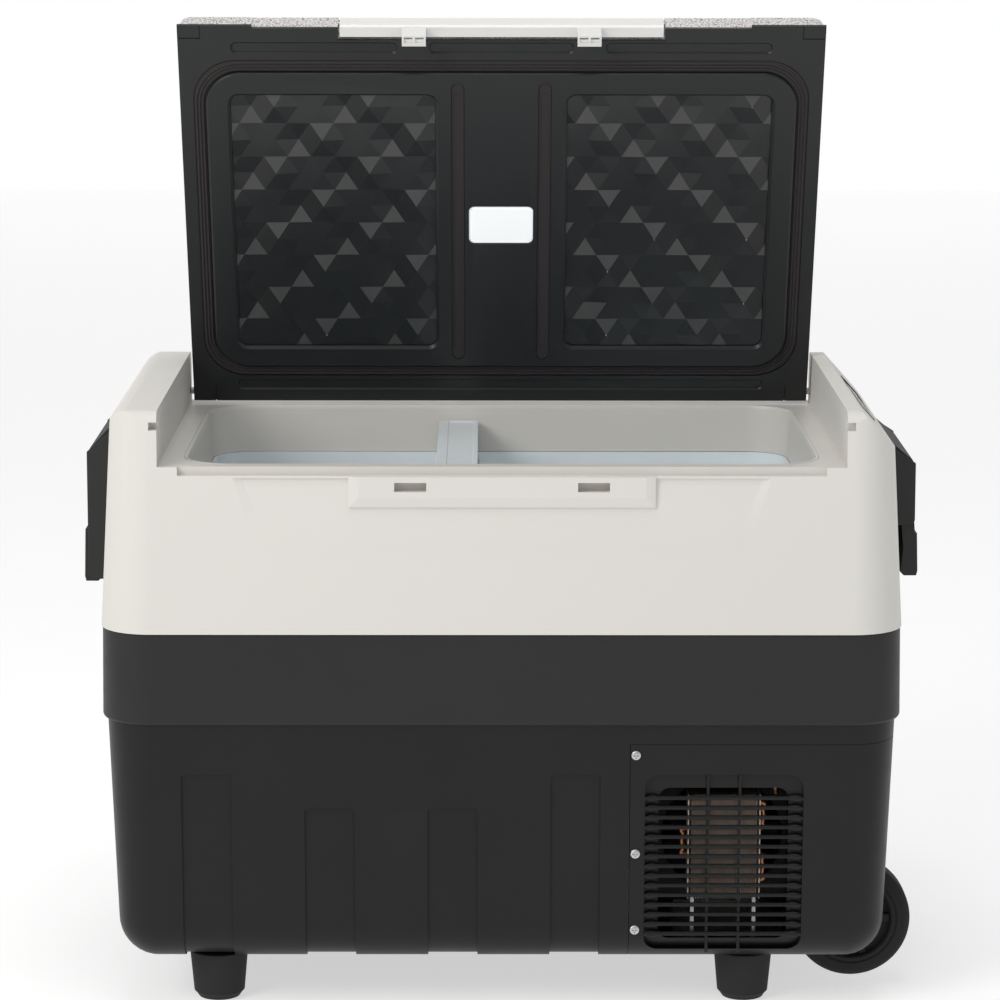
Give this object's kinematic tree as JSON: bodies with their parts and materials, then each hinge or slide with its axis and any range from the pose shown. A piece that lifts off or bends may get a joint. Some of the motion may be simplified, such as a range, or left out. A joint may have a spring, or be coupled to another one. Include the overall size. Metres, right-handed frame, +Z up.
{
  "type": "compressor cooler fridge",
  "caption": "Wheeled portable compressor cooler with a divided tub, an open faceted lid, latch bar, end handles and a vented machine bay.",
  "frame": {"origin": "on the floor, in the middle of the outline with the lid open", "axes": "+Z up, -Y towards the front, +X towards the machine bay end"},
  "size_m": [0.692, 0.374, 0.8021],
  "materials": {
    "white_shell": "fine-grained warm white moulded shell",
    "opening_collar": "smooth beige-grey moulded collar",
    "liner_plastic": "smooth cool white food liner",
    "divider_plastic": "pale grey with fine lengthwise lines",
    "insulation": "rigid polyurethane foam, cream",
    "belt_plastic": "charcoal band with a fine spark-eroded grain",
    "housing_plastic": "black satin moulded plastic",
    "black_plastic": "black moulded plastic",
    "lid_inner_plastic": "black semi-gloss moulded plastic",
    "lid_cover_coat": "silver-grey speckled coarse coat",
    "latch_plastic": "bright white plastic",
    "lamp_plastic": "milky white lamp lens",
    "seal_foam": "dark brown-grey soft seal",
    "foot_rubber": "black rubber",
    "wheel_rubber": "black wheel rubber",
    "zinc_steel": "bright zinc-plated steel",
    "compressor_enamel": "black enamelled steel can",
    "copper_tube": "bare copper tube",
    "fin_aluminium": "thin aluminium fins, dulled",
    "circuit_board": "green lacquered board",
    "display_glass": "smoked display window",
    "button_plastic": "soft grey buttons"
  },
  "bodies": {
    "cabinet": {"lower_housing": "housing_plastic", "belt_band": "belt_plastic", "upper_shell": "white_shell", "opening_collar": "opening_collar", "food_liner": "liner_plastic", "insulation_foam": "insulation", "evaporator_plate": "fin_aluminium", "bay_cover": "housing_plastic", "cover_screw_front_1": "zinc_steel", "cover_screw_front_2": "zinc_steel", "cover_screw_front_3": "zinc_steel", "cover_screw_rear_1": "zinc_steel", "cover_screw_rear_2": "zinc_steel", "cover_screw_rear_3": "zinc_steel", "foot_front_left": "foot_rubber", "foot_front_right": "foot_rubber", "foot_rear_left": "foot_rubber", "foot_rear_right": "foot_rubber", "axle_front": "zinc_steel", "axle_rear": "zinc_steel", "condenser": "fin_aluminium", "fan_frame": "black_plastic", "compressor": "compressor_enamel", "compressor_grommet_1": "foot_rubber", "compressor_grommet_2": "foot_rubber", "compressor_grommet_3": "foot_rubber", "compressor_grommet_4": "foot_rubber", "base_tray": "zinc_steel", "control_board": "circuit_board", "filter_drier": "copper_tube", "discharge_pipe": "copper_tube", "suction_pipe": "copper_tube", "supply_socket": "black_plastic", "handle_bracket_left": "black_plastic", "handle_bracket_right": "black_plastic", "control_panel": "white_shell", "display_window": "display_glass", "hinge_pin_left": "zinc_steel", "hinge_pin_right": "zinc_steel"},
    "lid": {"lid_cover": "lid_cover_coat", "lid_liner": "lid_inner_plastic", "lid_foam": "insulation", "lid_gasket": "seal_foam", "facet_panel_left": "lid_inner_plastic", "facet_panel_right": "lid_inner_plastic", "divider_seal_left": "seal_foam", "divider_seal_right": "seal_foam", "lamp_lens": "lamp_plastic", "latch_pin": "zinc_steel"},
    "latch": {"latch_bar": "latch_plastic"},
    "divider": {"zone_divider": "divider_plastic"},
    "bail_left": {"handle_bail_left": "black_plastic"},
    "bail_right": {"handle_bail_right": "black_plastic"},
    "wheel_front": {"wheel_front": "wheel_rubber"},
    "wheel_rear": {"wheel_rear": "wheel_rubber"},
    "fan_rotor": {"fan_rotor": "black_plastic"},
    "button_power": {"button_power": "button_plastic"},
    "button_set": {"button_set": "button_plastic"},
    "button_up": {"button_up": "button_plastic"},
    "button_down": {"button_down": "button_plastic"}
  },
  "joints": [
    {"name": "lid_hinge", "type": "hinge", "parent": "cabinet", "child": "lid", "pos_m": [0, 0.1645, 0.466], "axis": [-1, 0, 0], "range_deg": [-68.6, 20]},
    {"name": "latch_pivot", "type": "hinge", "parent": "lid", "child": "latch", "pos_m": [0, 0.04186, 0.79675], "axis": [-1, 0, 0], "range_deg": [0, 22], "stiffness_Nm_per_rad": 0.35},
    {"name": "divider_lift", "type": "slide", "parent": "cabinet", "child": "divider", "axis": [0, 0, 1], "range_m": [0, 0.04]},
    {"name": "bail_left_swing", "type": "hinge", "parent": "cabinet", "child": "bail_left", "pos_m": [-0.333, 0, 0.442], "axis": [0, 1, 0], "range_deg": [0, 85]},
    {"name": "bail_right_swing", "type": "hinge", "parent": "cabinet", "child": "bail_right", "pos_m": [0.333, 0, 0.433], "axis": [0, -1, 0], "range_deg": [0, 85]},
    {"name": "wheel_front_spin", "type": "hinge", "parent": "cabinet", "child": "wheel_front", "pos_m": [0.294, -0.094, 0.059], "axis": [0, 1, 0], "continuous": true},
    {"name": "wheel_rear_spin", "type": "hinge", "parent": "cabinet", "child": "wheel_rear", "pos_m": [0.294, 0.094, 0.059], "axis": [0, 1, 0], "continuous": true},
    {"name": "fan_spin", "type": "hinge", "parent": "cabinet", "child": "fan_rotor", "pos_m": [0.183, -0.112, 0.137], "axis": [0, 1, 0], "continuous": true},
    {"name": "button_power_press", "type": "slide", "parent": "cabinet", "child": "button_power", "axis": [-0.7396, 0, -0.673], "range_m": [0, 0.0012], "stiffness_N_per_m": 300},
    {"name": "button_set_press", "type": "slide", "parent": "cabinet", "child": "button_set", "axis": [-0.7396, 0, -0.673], "range_m": [0, 0.0012], "stiffness_N_per_m": 300},
    {"name": "button_up_press", "type": "slide", "parent": "cabinet", "child": "button_up", "axis": [-0.7396, 0, -0.673], "range_m": [0, 0.0012], "stiffness_N_per_m": 300},
    {"name": "button_down_press", "type": "slide", "parent": "cabinet", "child": "button_down", "axis": [-0.7396, 0, -0.673], "range_m": [0, 0.0012], "stiffness_N_per_m": 300}
  ]
}
